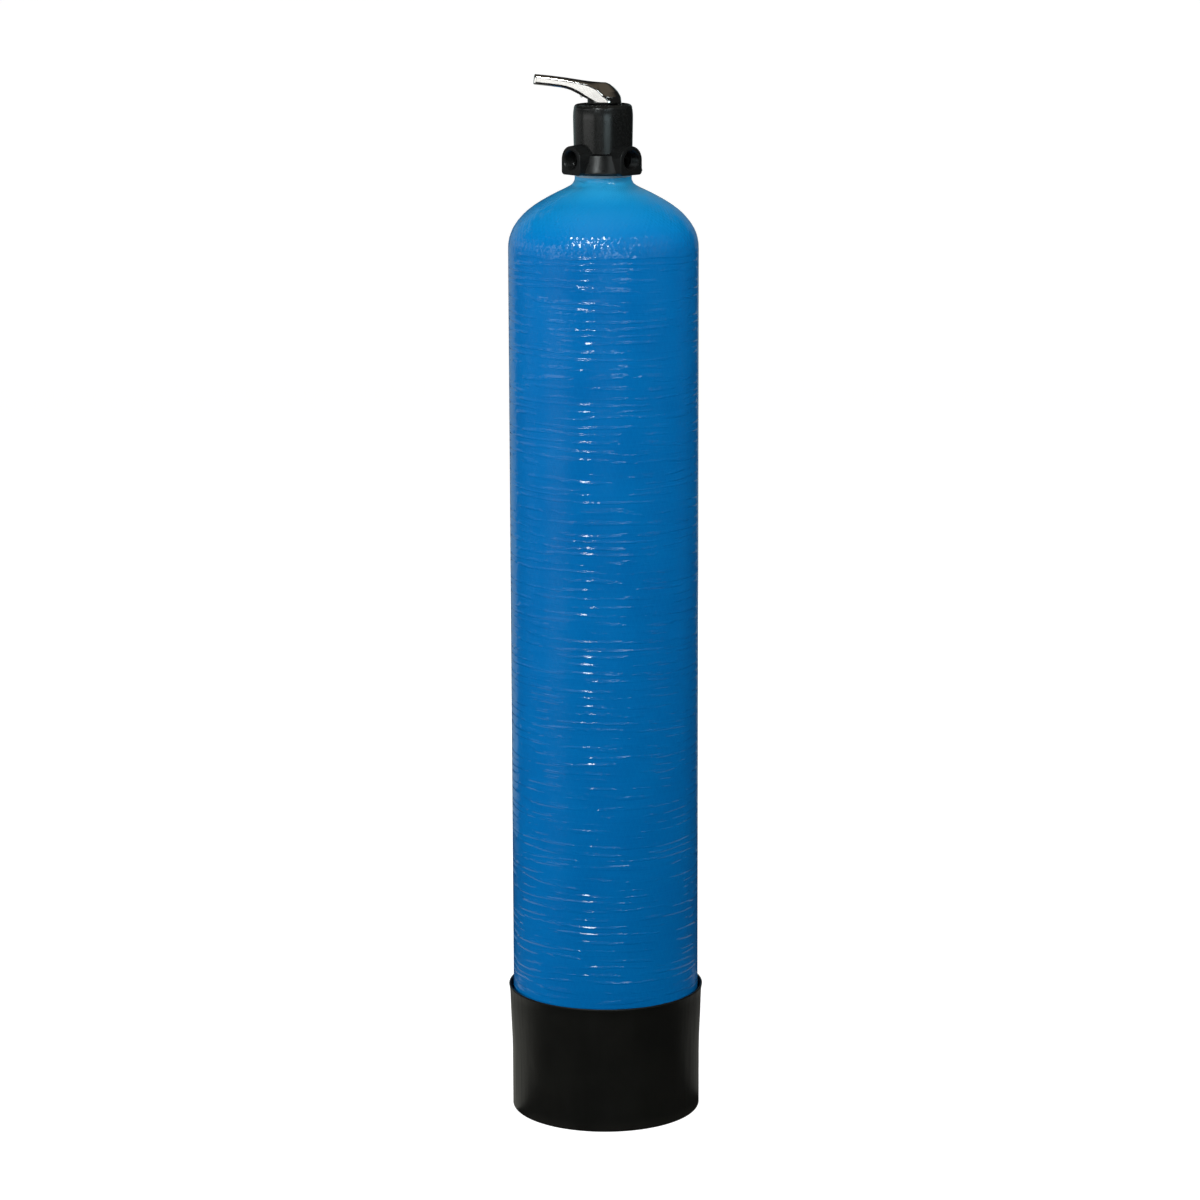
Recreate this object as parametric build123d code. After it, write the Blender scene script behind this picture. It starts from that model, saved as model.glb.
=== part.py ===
from build123d import *
import os
from math import acos, cos, degrees, pi, radians, sin, sqrt

os.makedirs("parts", exist_ok=True)

# Whole house water filter: wound fibreglass vessel in a moulded boot, with a
# manual three-way disc valve screwed into its neck. Millimetres, +Z up, the
# origin is at the centre of the boot's foot.

# ---------------------------------------------------------------- vessel
TANK_R = 132.5            # outer radius of the wound shell
DOME_B = 88.5             # height of each elliptical dome
TANK_BOTTOM_Z = 14.0      # underside of the lower dome
LOW_Z = TANK_BOTTOM_Z + DOME_B
HIGH_Z = 1242.0           # where the straight wall meets the upper dome
SHELL_T = 3.0             # wound fibreglass wall
BOND = 0.3                # resin layer between winding and liner
LINER_T = 4.0             # moulded polyethylene liner
NECK_R = 39.5             # outside of the vessel's neck
SHELL_SAG = 1.3           # the mandrel's upper dome is this much flatter than the lower one
# outside of the upper dome, from the wall's end over the shoulder and up the hollow to the neck
UPPER_DOME = [(132.5, 1241.0), (131.0, 1255.7), (127.0, 1267.5), (120.0, 1279.0), (110.0, 1290.3), (100.0, 1298.7),
              (90.0, 1305.5), (80.0, 1311.4), (70.0, 1316.8), (60.0, 1321.8), (52.0, 1325.6), (46.0, 1328.9),
              (42.0, 1332.4), (40.0, 1336.3), (39.5, 1340.5)]
NECK_Z = 1342.0           # end of the winding on the neck
NECK_BORE_R = 38.7        # inside of the winding at the neck
RIM_Z = 1345.9            # top face of the threaded insert

# ---------------------------------------------------------------- boot
BOOT_H = 182.6
BOOT_FLOOR_T = 4.0
BOOT_RECESS = 3.0         # the floor's middle is raised, so a ring stands on the ground
FOOT_R = 100.0            # inner edge of that ring
SEAT_R = 90.0             # ring that the lower dome rests on
SEAT_T = 5.0
RIBS = 12
RIB_T = 4.0
DRAIN_HOLES = 6
SEAT_GAP = 0.3

# ---------------------------------------------------------------- neck thread (2.5 in, 8 per inch)
PITCH = 25.4 / 8
NECK_MAJOR_R = 36.55      # crest of the male thread
THREAD_DEPTH = 1.5
THREAD_GAP = 0.25

# ---------------------------------------------------------------- riser
RISER_R = 13.35           # 26.7 mm pipe
RISER_WALL = 2.9
RISER_Z0 = 82.0
RISER_Z1 = 1356.0

# ---------------------------------------------------------------- valve body
FLANGE_Z = 1346.3
FLANGE_R = 54.2
HUB_TOP_Z = 1374.0
HUB_TOP_R = 45.0
CHAMBER_Z = 1386.0        # seat of the disc gasket
CHAMBER_R = 31.0
BODY_NECK_R = 36.0
BODY_TOP_Z = 1412.0
STUB_Z = 1318.0           # lower end of the male stub
STUB_BORE_R = 30.0
SOCKET_Z = 1326.0         # lower end of the riser socket
SOCKET_R = 19.5
PORT_Z = 1367.0
PORT_FACE = 59.3          # port face from the valve's axis
PORT_R = 13.2             # thread root radius, 3/4 in pipe thread
PORT_THREAD_L = 16.0
PASSAGE_R = 8.0           # passage from a port's floor to its duct
PASSAGE_Z = 1362.5
PORT_CHAMFER = 1.0
PAD_R_FACE = 19.5         # arch radius at the face
PAD_R_ROOT = 21.8         # arch radius at the tower
PAD_FOOT_Z = 1346.6
PAD_CORNER_R = 5.0
PORTS = {"inlet": -139.0, "drain": -49.0, "outlet": 90.0}    # degrees from +X
TOP_DUCT = -225.0         # direction of the duct that leads to the top of the vessel
DUCT_AT = 22.0
DUCT_R = 6.3

# ---------------------------------------------------------------- cap, rotor and discs
CAP_Z0 = 1374.9
CAP_Z1 = 1441.1
CAP_R = 41.45
CAP_SKIRT_R = 40.7
SHAFT_R = 13.0
SHAFT_BORE_R = 13.08
DISC_R = 30.2
GASKET_T = 2.5
FIXED_T = 7.0
MOVING_T = 7.0
ROTOR_R = 28.0

# ---------------------------------------------------------------- lever
BOSS_R = 21.4
HOOD_R = 25.8
CHEEK_Y = 24.2            # half width of the hood across its flats
ARM_Y = 9.5               # half width at the tip
LEVER_WALL = 2.6
LEVER_Z0 = 1443.4         # underside of the hood
PIVOT_X = -8.2
PIVOT_Z = 1455.0
PIN_R = 2.5
PIN_CLEAR = 0.08


def disc(r, z0, z1):
    """Plain cylinder about the vertical axis, from z0 to z1."""
    return Pos(0, 0, z0) * Cylinder(r, z1 - z0, align=(Align.CENTER, Align.CENTER, Align.MIN))


def ring(r_in, r_out, z0, z1):
    return disc(r_out, z0, z1) - disc(r_in, z0 - 1, z1 + 1)


def turned(points):
    """Solid of revolution from a closed outline of (radius, height) points."""
    face = make_face(Plane.XZ * Polyline(*[(r, z) for r, z in points], close=True))
    return revolve(face, Axis.Z, 360)


def torus(r_major, r_minor, z):
    return Pos(0, 0, z) * Torus(r_major, r_minor)


def polar(radius, deg):
    a = radians(deg)
    return radius * cos(a), radius * sin(a)


def vessel(r, b, neck_r, neck_z, sag=0.0):
    """Closed vessel form: two elliptical domes, a straight wall and a neck."""
    t = degrees(acos(neck_r / r))
    b_high = b - sag
    z_join = HIGH_Z + b_high * sin(radians(t))
    low = EllipticalCenterArc((0, LOW_Z), r, b, start_angle=270, arc_size=90)
    wall = Line((r, LOW_Z), (r, HIGH_Z))
    high = EllipticalCenterArc((0, HIGH_Z), r, b_high, start_angle=0, arc_size=t)
    neck = Polyline((neck_r, z_join), (neck_r, neck_z), (0, neck_z), (0, LOW_Z - b))
    return revolve(make_face(Plane.XZ * (low + wall + high + neck)), Axis.Z, 360)


def wound_form():
    """Outside of the winding: lower dome, wall, shoulder and the hollow sweep up to the neck."""
    low = EllipticalCenterArc((0, LOW_Z), TANK_R, DOME_B, start_angle=270, arc_size=90)
    wall = Line((TANK_R, LOW_Z), UPPER_DOME[0])
    high = Spline(*UPPER_DOME, tangents=[(0, 1), (0, 1)])
    neck = Polyline(UPPER_DOME[-1], (NECK_R, NECK_Z), (0, NECK_Z), (0, TANK_BOTTOM_Z))
    return revolve(make_face(Plane.XZ * (low + wall + high + neck)), Axis.Z, 360)


def thread_outline(r_crest, z0, z1, sign):
    """Zigzag points of ring-shaped ridges between z0 and z1 (sign -1 cuts inwards)."""
    pts, z = [], z0
    while z + PITCH <= z1:
        pts += [(r_crest, z), (r_crest, z + 0.25 * PITCH),
                (r_crest + sign * THREAD_DEPTH, z + 0.55 * PITCH),
                (r_crest + sign * THREAD_DEPTH, z + 0.70 * PITCH)]
        z += PITCH
    pts.append((r_crest, z))
    return pts


# ================================================================ vessel
shell_outer = wound_form()
shell_inner = vessel(TANK_R - SHELL_T, DOME_B - SHELL_T, NECK_BORE_R, NECK_Z + 5, SHELL_SAG)
tank_shell = shell_outer - shell_inner

off = SHELL_T + BOND
liner_outer = vessel(TANK_R - off, DOME_B - off, NECK_BORE_R - 0.3, 1325.5, SHELL_SAG)
liner_inner = vessel(TANK_R - off - LINER_T, DOME_B - off - LINER_T, 34.0, 1300.0, SHELL_SAG)
INSERT_R = NECK_BORE_R - 0.3
tank_liner = liner_outer - liner_inner - disc(INSERT_R + 0.3, 1290, 1340)

# threaded insert: rim on the neck's end, threaded tube, flange under the liner's dome
thread_z0, thread_z1 = 1314.0, 1342.0
female = thread_outline(NECK_MAJOR_R + THREAD_GAP, thread_z0, thread_z1, -1)
insert_pts = [(34.6, 1296.0), (34.6, thread_z0 - 2.0)]
insert_pts += [(r, z) for r, z in female]
insert_pts += [(NECK_MAJOR_R + THREAD_GAP, RIM_Z), (NECK_R + 0.2, RIM_Z), (NECK_R + 0.2, NECK_Z + 0.1),
               (INSERT_R, NECK_Z + 0.1), (INSERT_R, 1308.0), (50.0, 1305.5), (50.0, 1300.5), (40.0, 1296.0)]
neck_insert = turned(insert_pts)

# ================================================================ boot
flare = [(134.5, 4.5), (134.45, 34), (134.5, 64), (134.7, 94), (135.8, 124), (137.0, 154), (137.4, 168),
         (137.9, 174.5), (138.7, 179.0)]
inner = [(136.3, 180.6), (135.2, 172), (134.3, 158), (133.5, 135), (132.8, 112), (132.3, 92), (131.7, 66),
         (131.5, 30), (131.5, BOOT_FLOOR_T)]
outline = (Polyline((FOOT_R, 0), (131.4, 0))
           + ThreePointArc((131.4, 0), (133.6, 0.95), (134.5, 3.3))
           + Line((134.5, 3.3), flare[0])
           + Spline(*flare)
           + Polyline(flare[-1], (139.1, 180.8))
           + ThreePointArc((139.1, 180.8), (138.5, 182.3), (137.3, BOOT_H))
           + ThreePointArc((137.3, BOOT_H), (136.6, 182.0), inner[0])
           + Spline(*inner)
           + Polyline(inner[-1], (FOOT_R + 4, BOOT_FLOOR_T), (FOOT_R, BOOT_FLOOR_T + BOOT_RECESS),
                      (0, BOOT_FLOOR_T + BOOT_RECESS), (0, BOOT_RECESS), (FOOT_R - 3, BOOT_RECESS), (FOOT_R, 0)))
boot = revolve(make_face(Plane.XZ * outline), Axis.Z, 360)
seat = ring(SEAT_R - SEAT_T / 2, SEAT_R + SEAT_T / 2, BOOT_FLOOR_T, 60)
for i in range(RIBS):
    seat += Rot(0, 0, 360 / RIBS * (i + 0.5)) * Pos(SEAT_R, 0, BOOT_FLOOR_T - 1) * Box(
        132.5 - SEAT_R, RIB_T, 86.0, align=(Align.MIN, Align.CENTER, Align.MIN))
seat -= vessel(TANK_R + SEAT_GAP, DOME_B + SEAT_GAP, NECK_R, NECK_Z)
tank_base = boot + seat
for i in range(DRAIN_HOLES):
    x, y = polar(45.0, 60 * i)
    tank_base -= Pos(x, y, 0) * Cylinder(9, 40)

# ================================================================ riser and baskets
riser_tube = ring(RISER_R - RISER_WALL, RISER_R, RISER_Z0, RISER_Z1)


def slots(r_in, r_out, z0, z1, step, width, bridges, bridge_w):
    """Rows of narrow slots round a basket, parted by upright bridges."""
    rows = []
    z = z0
    while z + width <= z1:
        rows.append(ring(r_in, r_out, z, z + width))
        z += step
    cut = rows[0]
    for row in rows[1:]:
        cut += row
    for i in range(bridges):
        cut -= Rot(0, 0, 360 / bridges * i) * Pos(0, 0, (z0 + z1) / 2) * Box(
            r_out + 5, bridge_w, z1 - z0 + 10, align=(Align.MIN, Align.CENTER, Align.CENTER))
    return cut


LOWER_R = 27.0
lower_distributor = turned([(0, 24.5), (19, 24.5), (LOWER_R, 31), (LOWER_R, 74), (18, 84), (18, 108),
                            (RISER_R + 0.15, 108), (RISER_R + 0.15, RISER_Z0 - 0.2), (10.4, RISER_Z0 - 0.2),
                            (10.4, 78), (LOWER_R - 3, 70), (LOWER_R - 3, 33), (18, 27.5), (0, 27.5)])
lower_distributor -= slots(LOWER_R - 4, LOWER_R + 2, 34, 70, 3.0, 0.8, 8, 4.0)

UPPER_R = 29.5
upper_distributor = turned([(RISER_R + 0.35, 1262), (UPPER_R, 1262), (UPPER_R, 1317.7), (STUB_BORE_R - 0.2, 1317.7),
                            (STUB_BORE_R - 0.2, 1323.5), (27.2, 1323.5), (27.2, 1266), (17.6, 1266), (17.6, 1275),
                            (RISER_R + 0.35, 1275)])
upper_distributor -= slots(26.0, 31.0, 1270, 1312, 3.0, 0.8, 8, 4.0)

# ================================================================ filter beds
bed_gap = 0.5
bed = vessel(TANK_R - off - LINER_T - bed_gap, DOME_B - off - LINER_T - bed_gap, 34.0, 1300.0, SHELL_SAG)
GRAVEL_TOP = 150.0
MEDIA_TOP = 930.0
lower_envelope = turned([(0, 24.0), (19.3, 24.0), (LOWER_R + 0.5, 30.7), (LOWER_R + 0.5, 74.3), (18.5, 84.4),
                         (18.5, 108.5), (RISER_R + 0.4, 108.5), (RISER_R + 0.4, 1000), (0, 1000)])
gravel_bed = (bed & disc(140, 0, GRAVEL_TOP)) - lower_envelope
filter_media = (bed & disc(140, GRAVEL_TOP + 0.2, MEDIA_TOP)) - lower_envelope

# ================================================================ valve body
hub = turned([(0, FLANGE_Z), (FLANGE_R - 2.8, FLANGE_Z), (FLANGE_R, FLANGE_Z + 2.8), (FLANGE_R - 0.1, FLANGE_Z + 4.5),
              (HUB_TOP_R + 0.8, HUB_TOP_Z - 0.8), (HUB_TOP_R - 0.6, HUB_TOP_Z), (0, HUB_TOP_Z)])
male_pts = [(STUB_BORE_R, STUB_Z), (NECK_MAJOR_R - THREAD_DEPTH, STUB_Z)]
male_pts += [(NECK_MAJOR_R - THREAD_DEPTH, thread_z0 + 1.9 * PITCH)]
male_pts += thread_outline(NECK_MAJOR_R, thread_z0 + 2 * PITCH, thread_z1, -1)
male_pts += [(NECK_MAJOR_R - 0.8, 1344.0), (NECK_MAJOR_R - 0.8, FLANGE_Z + 1), (STUB_BORE_R, FLANGE_Z + 1)]
stub = turned(male_pts)
socket = disc(SOCKET_R, SOCKET_Z, FLANGE_Z + 2)


def arch(r, x, deg, z_foot=PAD_FOOT_Z):
    """Arch outline of a port's pad, standing at distance x from the axis."""
    plane = Rot(0, 0, deg) * Plane(origin=(x, 0, PORT_Z), x_dir=(0, 1, 0), z_dir=(1, 0, 0))
    foot = z_foot - PORT_Z
    wire = (Line((-r, foot), (-r, 0)) + ThreePointArc((-r, 0), (0, r), (r, 0))
            + Line((r, 0), (r, foot)) + Line((r, foot), (-r, foot)))
    return plane * make_face(wire)


pads = None
for deg in PORTS.values():
    pad = loft([arch(PAD_R_ROOT, 30.0, 0), arch(PAD_R_FACE, PORT_FACE, 0)])
    low_side = [e for e in pad.edges() if abs(e.center().Z - PAD_FOOT_Z) < 0.5 and abs(e.center().Y) > 18 and e.length > 20]
    pad = fillet(low_side, PAD_CORNER_R)
    pad = fillet(pad.faces().sort_by(Axis.X)[-1].edges(), 1.2)
    pad = Rot(0, 0, deg) * pad
    pads = pad if pads is None else pads + pad

# the pads stand clear of the cap's skirt
pads -= disc(CAP_SKIRT_R + 0.45, HUB_TOP_Z, 1400)
body_neck = disc(BODY_NECK_R, HUB_TOP_Z - 1, BODY_TOP_Z)
valve_body = hub + stub + socket + pads + body_neck

# cavities: disc chamber, riser socket, ring passage to the top of the vessel, ports and ducts
valve_body -= disc(CHAMBER_R, CHAMBER_Z, BODY_TOP_Z + 1)
valve_body -= ring(SOCKET_R, STUB_BORE_R, STUB_Z - 1, 1350.0)
valve_body -= disc(RISER_R + 0.25, SOCKET_Z - 1, RISER_Z1 + 1.5)
valve_body -= disc(16.4, SOCKET_Z - 1, 1331.5)
valve_body -= disc(9.5, RISER_Z1, CHAMBER_Z + 1)
valve_body -= ring(36.3, 42.0, FLANGE_Z - 1, 1351.5)
for deg in PORTS.values():
    bore = Plane(origin=(0, 0, PORT_Z), x_dir=(0, 1, 0), z_dir=(1, 0, 0))
    cut = bore * Pos(0, 0, PORT_FACE - PORT_CHAMFER - PORT_THREAD_L) * Cylinder(
        PORT_R, PORT_THREAD_L + 3, align=(Align.CENTER, Align.CENTER, Align.MIN))
    cut += bore * Pos(0, 0, PORT_FACE - PORT_CHAMFER) * Cone(
        PORT_R, PORT_R + PORT_CHAMFER + 0.5, PORT_CHAMFER + 0.5, align=(Align.CENTER, Align.CENTER, Align.MIN))
    cut += Plane(origin=(18, 0, PASSAGE_Z), x_dir=(0, 1, 0), z_dir=(1, 0, 0)) * Cylinder(
        PASSAGE_R, PORT_FACE - PORT_CHAMFER - PORT_THREAD_L - 17, align=(Align.CENTER, Align.CENTER, Align.MIN))
    cut += Pos(DUCT_AT, 0, PORT_Z) * Cylinder(DUCT_R, CHAMBER_Z + 1 - PORT_Z, align=(Align.CENTER, Align.CENTER, Align.MIN))
    valve_body -= Rot(0, 0, deg) * cut
x, y = polar(DUCT_AT, TOP_DUCT)
valve_body -= Pos(x, y, 1345) * Cylinder(DUCT_R, CHAMBER_Z + 1 - 1345, align=(Align.CENTER, Align.CENTER, Align.MIN))
# ring-shaped ridges of the cap thread, and a groove for the cap's ring in the neck's top face
for i in range(5):
    valve_body -= turned([(BODY_NECK_R + 1, 1385 + 4.2 * i), (BODY_NECK_R - 1.1, 1386 + 4.2 * i),
                          (BODY_NECK_R - 1.1, 1386.6 + 4.2 * i), (BODY_NECK_R + 1, 1387.6 + 4.2 * i)])
valve_body -= ring(32.3, 34.7, BODY_TOP_Z - 1.7, BODY_TOP_Z + 1)

tank_seal_o_ring = torus(39.15, 2.6, 1348.6)
riser_o_ring = torus(14.95, 1.35, 1329.95)
riser_seal_retainer = ring(13.75, 16.25, SOCKET_Z + 0.1, 1328.3)

# ================================================================ discs
DUCTS = list(PORTS.values()) + [TOP_DUCT]


def drilled(solid, z0, z1, r_duct, r_centre):
    for d in DUCTS:
        px, py = polar(DUCT_AT, d)
        solid -= Pos(px, py, z0) * Cylinder(r_duct, z1 - z0, align=(Align.CENTER, Align.CENTER, Align.MIN))
    return solid - disc(r_centre, z0, z1)


gz = CHAMBER_Z
disc_gasket = drilled(disc(30.5, gz + 0.05, gz + GASKET_T), gz - 1, gz + GASKET_T + 1, 6.6, 9.8)
fz = gz + GASKET_T + 0.05
fixed_disc = drilled(disc(DISC_R, fz, fz + FIXED_T), fz - 1, fz + FIXED_T + 1, 6.0, 9.0)
mz = fz + FIXED_T + 0.1
moving = disc(DISC_R - 0.4, mz, mz + MOVING_T)
# channel that joins the riser to the outlet, and the bow-shaped one that joins the inlet to the vessel's top
moving -= Rot(0, 0, PORTS["outlet"]) * Pos(0, 0, mz - 1) * Box(DUCT_AT, 11, 4.6, align=(Align.MIN, Align.CENTER, Align.MIN))
ox, oy = polar(DUCT_AT, PORTS["outlet"])
moving -= Pos(ox, oy, mz - 1) * Cylinder(5.6, 4.6, align=(Align.CENTER, Align.CENTER, Align.MIN))
moving -= disc(7.5, mz - 1, mz + 3.6)
bow = ring(DUCT_AT - 4.6, DUCT_AT + 4.6, mz - 1, mz + 3.6)
wedge = make_face(Polyline((0, 0), polar(60, PORTS["inlet"]), polar(85, (PORTS["inlet"] + TOP_DUCT) / 2),
                           polar(60, TOP_DUCT), close=True))
bow &= Pos(0, 0, mz - 2) * extrude(wedge, 8)
for d in (PORTS["inlet"], TOP_DUCT):
    bx, by = polar(DUCT_AT, d)
    bow += Pos(bx, by, mz - 1) * Cylinder(4.6, 4.6, align=(Align.CENTER, Align.CENTER, Align.MIN))
moving -= bow
# three blind notches take the rotor's lugs
rz = mz + MOVING_T
for i in range(3):
    moving -= Rot(0, 0, 90 + 120 * i) * Pos(23.5, 0, rz - 2.6) * Box(9, 8.4, 5, align=(Align.CENTER, Align.CENTER, Align.MIN))
moving_disc = moving

# ================================================================ stem, washer and rings
rotor_z = rz + 0.6
ROTOR_TOP = 1410.6
stem = disc(ROTOR_R, rotor_z, ROTOR_TOP) + disc(SHAFT_R, ROTOR_TOP - 1, 1446.0)
for i in range(3):
    stem += Rot(0, 0, 90 + 120 * i) * Pos(23.3, 0, rz - 2.2) * Box(7.6, 7.8, 4.0, align=(Align.CENTER, Align.CENTER, Align.MIN))
boss = turned([(0, CAP_Z1 + 0.7), (BOSS_R - 0.6, CAP_Z1 + 0.7), (BOSS_R, CAP_Z1 + 1.3), (BOSS_R, 1449.4), (20.0, 1451.7),
               (16.2, 1456.4), (12.8, 1458.6), (0, 1458.6)])
stem += boss
stem -= Pos(PIVOT_X, 0, PIVOT_Z) * Rot(90, 0, 0) * Cylinder(PIN_R, 60)
for s in (1, -1):                        # flats inside the lever's cheeks, deeper ones that face its eyes
    stem -= Pos(0, s * 20.9, CAP_Z1) * Box(60.0, 12.0, 30.0, align=(
        Align.CENTER, Align.MIN if s > 0 else Align.MAX, Align.MIN))
    stem -= Pos(PIVOT_X, s * 16.6, PIVOT_Z - 5.4) * Box(12.0, 12.0, 20.0, align=(
        Align.CENTER, Align.MIN if s > 0 else Align.MAX, Align.MIN))
SPRING_X = -16.0
SPRING_Z0 = 1449.6
stem -= Pos(SPRING_X, 0, SPRING_Z0) * Cylinder(4.4, 20, align=(Align.CENTER, Align.CENTER, Align.MIN))
GROOVES = (1419.0, 1428.0)
for g in GROOVES:
    stem -= ring(10.3, SHAFT_R + 1, g - 1.35, g + 1.35)
stem_o_rings = Compound([torus(11.65, 1.15, g).solid() for g in GROOVES])
anti_friction_washer = ring(SHAFT_R + 0.4, 24.0, ROTOR_TOP + 0.1, ROTOR_TOP + 1.3)

# ================================================================ cap
outer_cap = (Polyline((38.5, CAP_Z0), (40.1, CAP_Z0), (40.5, CAP_Z0 + 0.5))
             + ThreePointArc((40.5, CAP_Z0 + 0.5), (41.1, 1402.0), (CAP_R, 1422.0))
             + ThreePointArc((CAP_R, 1422.0), (41.25, 1428.8), (40.4, 1435.4))
             + ThreePointArc((40.4, 1435.4), (39.1, 1439.3), (35.6, CAP_Z1))
             + Polyline((35.6, CAP_Z1), (SHAFT_BORE_R, CAP_Z1), (SHAFT_BORE_R, 1412.2), (18.5, 1412.2), (18.5, 1436.9),
                        (31.5, 1436.9), (31.5, 1412.5), (BODY_NECK_R + 0.4, 1412.5), (BODY_NECK_R + 0.4, CAP_Z0),
                        (38.5, CAP_Z0)))
valve_cap = revolve(make_face(Plane.XZ * outer_cap), Axis.Z, 360)
for i in range(8):
    valve_cap += Rot(0, 0, 45 * i + 22.5) * Pos(17.5, 0, 1416.0) * Box(15, 2.4, 22.0, align=(Align.MIN, Align.CENTER, Align.MIN))
# three shallow notches in the cap's top face mark and hold the lever's positions
for a in (0.0, 90.0, -90.0):
    valve_cap -= Rot(0, 0, a) * Pos(25.0, 0, CAP_Z1 - 1.2) * Box(5.0, 5.4, 4, align=(Align.CENTER, Align.CENTER, Align.MIN))
cap_o_ring = torus(33.5, 1.0, BODY_TOP_Z - 0.65)

# ================================================================ lever
# side view: arm, domed hood and the slanted opening under the arm
side = [(-94.4, 1483.2), (-75, 1481.3), (-57.3, 1479.1), (-43.5, 1476.7), (-29.7, 1474.6), (-16.0, 1472.7),
        (-2.2, 1471.1), (30, 1471.1), (30, LEVER_Z0), (-8.6, LEVER_Z0), (-14.5, 1446.2), (-25.2, 1451.0), (-29.8, 1453.7),
        (-36.5, 1457.3), (-43.6, 1460.8), (-50, 1462.9), (-57.3, 1464.5), (-75, 1466.6), (-95.7, 1468.6), (-96.4, 1469.6)]
side_solid = extrude(make_face(Plane.XZ * Polyline(*side, close=True)), 40, both=True)
# plan view: round heel, flats converging to the tip
plan_outline = make_face(
    Polyline((10.5, -CHEEK_Y), (-16, -CHEEK_Y + 1.8), (-94.8, -ARM_Y), (-97.8, -ARM_Y + 3),
             (-97.8, ARM_Y - 3), (-94.8, ARM_Y), (-16, CHEEK_Y - 1.8), (10.5, CHEEK_Y))
    + ThreePointArc((10.5, CHEEK_Y), (HOOD_R - 0.3, 0), (10.5, -CHEEK_Y)))
plan_solid = Pos(0, 0, 1440) * extrude(plan_outline, 60)
# dome over the boss, drawn out into a camber along the arm
dome_pts = [(0, 1471.3), (4.7, 1470.6), (9.5, 1468.4), (15.2, 1464.1), (20.4, 1458.6), (24.3, 1451.9), (25.5, 1446.6),
            (HOOD_R, 1441.0)]
dome_face = make_face(Plane.XZ * (Spline(*dome_pts) + Polyline(dome_pts[-1], (HOOD_R, 1438), (0, 1438), dome_pts[0])))
dome = revolve(dome_face, Axis.Z, 360)


def camber(x, z_ridge, drop, y_half):
    """Cross-section of the arm's top at distance x: ridge in the middle, lower at the sides."""
    plane = Plane(origin=(x, 0, 0), x_dir=(0, 1, 0), z_dir=(1, 0, 0))
    wire = (ThreePointArc((-y_half, z_ridge - drop), (0, z_ridge), (y_half, z_ridge - drop))
            + Line((y_half, z_ridge - drop), (y_half, 1430)) + Line((y_half, 1430), (-y_half, 1430))
            + Line((-y_half, 1430), (-y_half, z_ridge - drop)))
    return plane * make_face(wire)


top_form = loft([camber(-100, 1483.9, 1.6, 14), camber(-75, 1481.4, 1.8, 16), camber(-50, 1477.9, 1.4, 19),
                 camber(-33, 1475.1, 1.5, 22), camber(-21, 1473.4, 4.0, 24), camber(-12, 1472.2, 9.2, 26),
                 camber(0, 1471.2, 18.0, 26.6)])
front_half = Pos(0, 0, 1460) * Box(60, 80, 80, align=(Align.MIN, Align.CENTER, Align.CENTER))
envelope = top_form + (dome & front_half)
lever = side_solid & plan_solid & envelope
# inside of the hood
inner_dome_pts = [(0, 1467.4), (4.7, 1467.0), (9.3, 1465.0), (14.4, 1461.2), (19.0, 1456.4), (22.2, 1450.6),
                  (23.2, 1445.6), (23.4, 1440.0)]
inner_face = make_face(Plane.XZ * (Spline(*inner_dome_pts) + Polyline(inner_dome_pts[-1], (23.4, 1430), (0, 1430), inner_dome_pts[0])))
hollow = revolve(inner_face, Axis.Z, 360)
hollow += Pos(0, 0, 1436) * extrude(make_face(Polyline((0, -19), (-26.4, -15.2), (-26.4, 15.2), (0, 19), close=True)), 22)
hollow &= Pos(0, 0, 1450) * Box(80, 2 * (CHEEK_Y - LEVER_WALL), 80)
lever -= hollow
for s in (1, -1):
    eye = Pos(PIVOT_X, s * 19.6, PIVOT_Z) * Rot(90, 0, 0) * Cylinder(4.8, 5.2)
    lever += eye
# pocket for the spring in the arm's root, pin hole, and the small tooth under the heel
lever -= Pos(SPRING_X, 0, 1440) * Cylinder(4.6, 25.2, align=(Align.CENTER, Align.CENTER, Align.MIN))
lever -= Pos(PIVOT_X, 0, PIVOT_Z) * Rot(90, 0, 0) * Cylinder(PIN_R + PIN_CLEAR, 80)
tooth = Pos(24.2, 0, CAP_Z1 + 0.4) * Box(2.4, 4.4, 4.0, align=(Align.CENTER, Align.CENTER, Align.MIN))
lever += tooth
# small round rest for the finger under the arm
lever += Pos(-29.6, 0, 1452.9) * Rot(90, 0, 0) * Cylinder(2.2, 17.0)
lever = lever.solids().sort_by(SortBy.VOLUME)[-1]

lever_pin = Pos(PIVOT_X, 0, PIVOT_Z) * Rot(90, 0, 0) * Cylinder(PIN_R, 2 * (CHEEK_Y - 1.8))
helix = Helix(pitch=2.6, height=13.0, radius=3.1, center=(SPRING_X, 0, SPRING_Z0 + 0.8))
spring_section = Plane(origin=helix @ 0, z_dir=helix % 0) * Circle(0.55)
lever_spring = sweep(spring_section, path=helix, is_frenet=True)

# ================================================================ write
nodes = {
    "tank_base": tank_base, "tank_shell": tank_shell, "tank_liner": tank_liner, "neck_insert": neck_insert,
    "riser_tube": riser_tube, "lower_distributor": lower_distributor, "upper_distributor": upper_distributor,
    "gravel_bed": gravel_bed, "filter_media": filter_media, "valve_body": valve_body, "valve_cap": valve_cap,
    "tank_seal_o_ring": tank_seal_o_ring, "riser_o_ring": riser_o_ring, "riser_seal_retainer": riser_seal_retainer,
    "disc_gasket": disc_gasket, "fixed_disc": fixed_disc, "moving_disc": moving_disc, "cap_o_ring": cap_o_ring,
    "stem": stem, "stem_o_rings": stem_o_rings, "anti_friction_washer": anti_friction_washer, "lever": lever,
    "lever_pin": lever_pin, "lever_spring": lever_spring,
}
for name, shape in nodes.items():
    export_step(shape, f"parts/{name}.step")
print(len(nodes), "pieces written")
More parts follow.
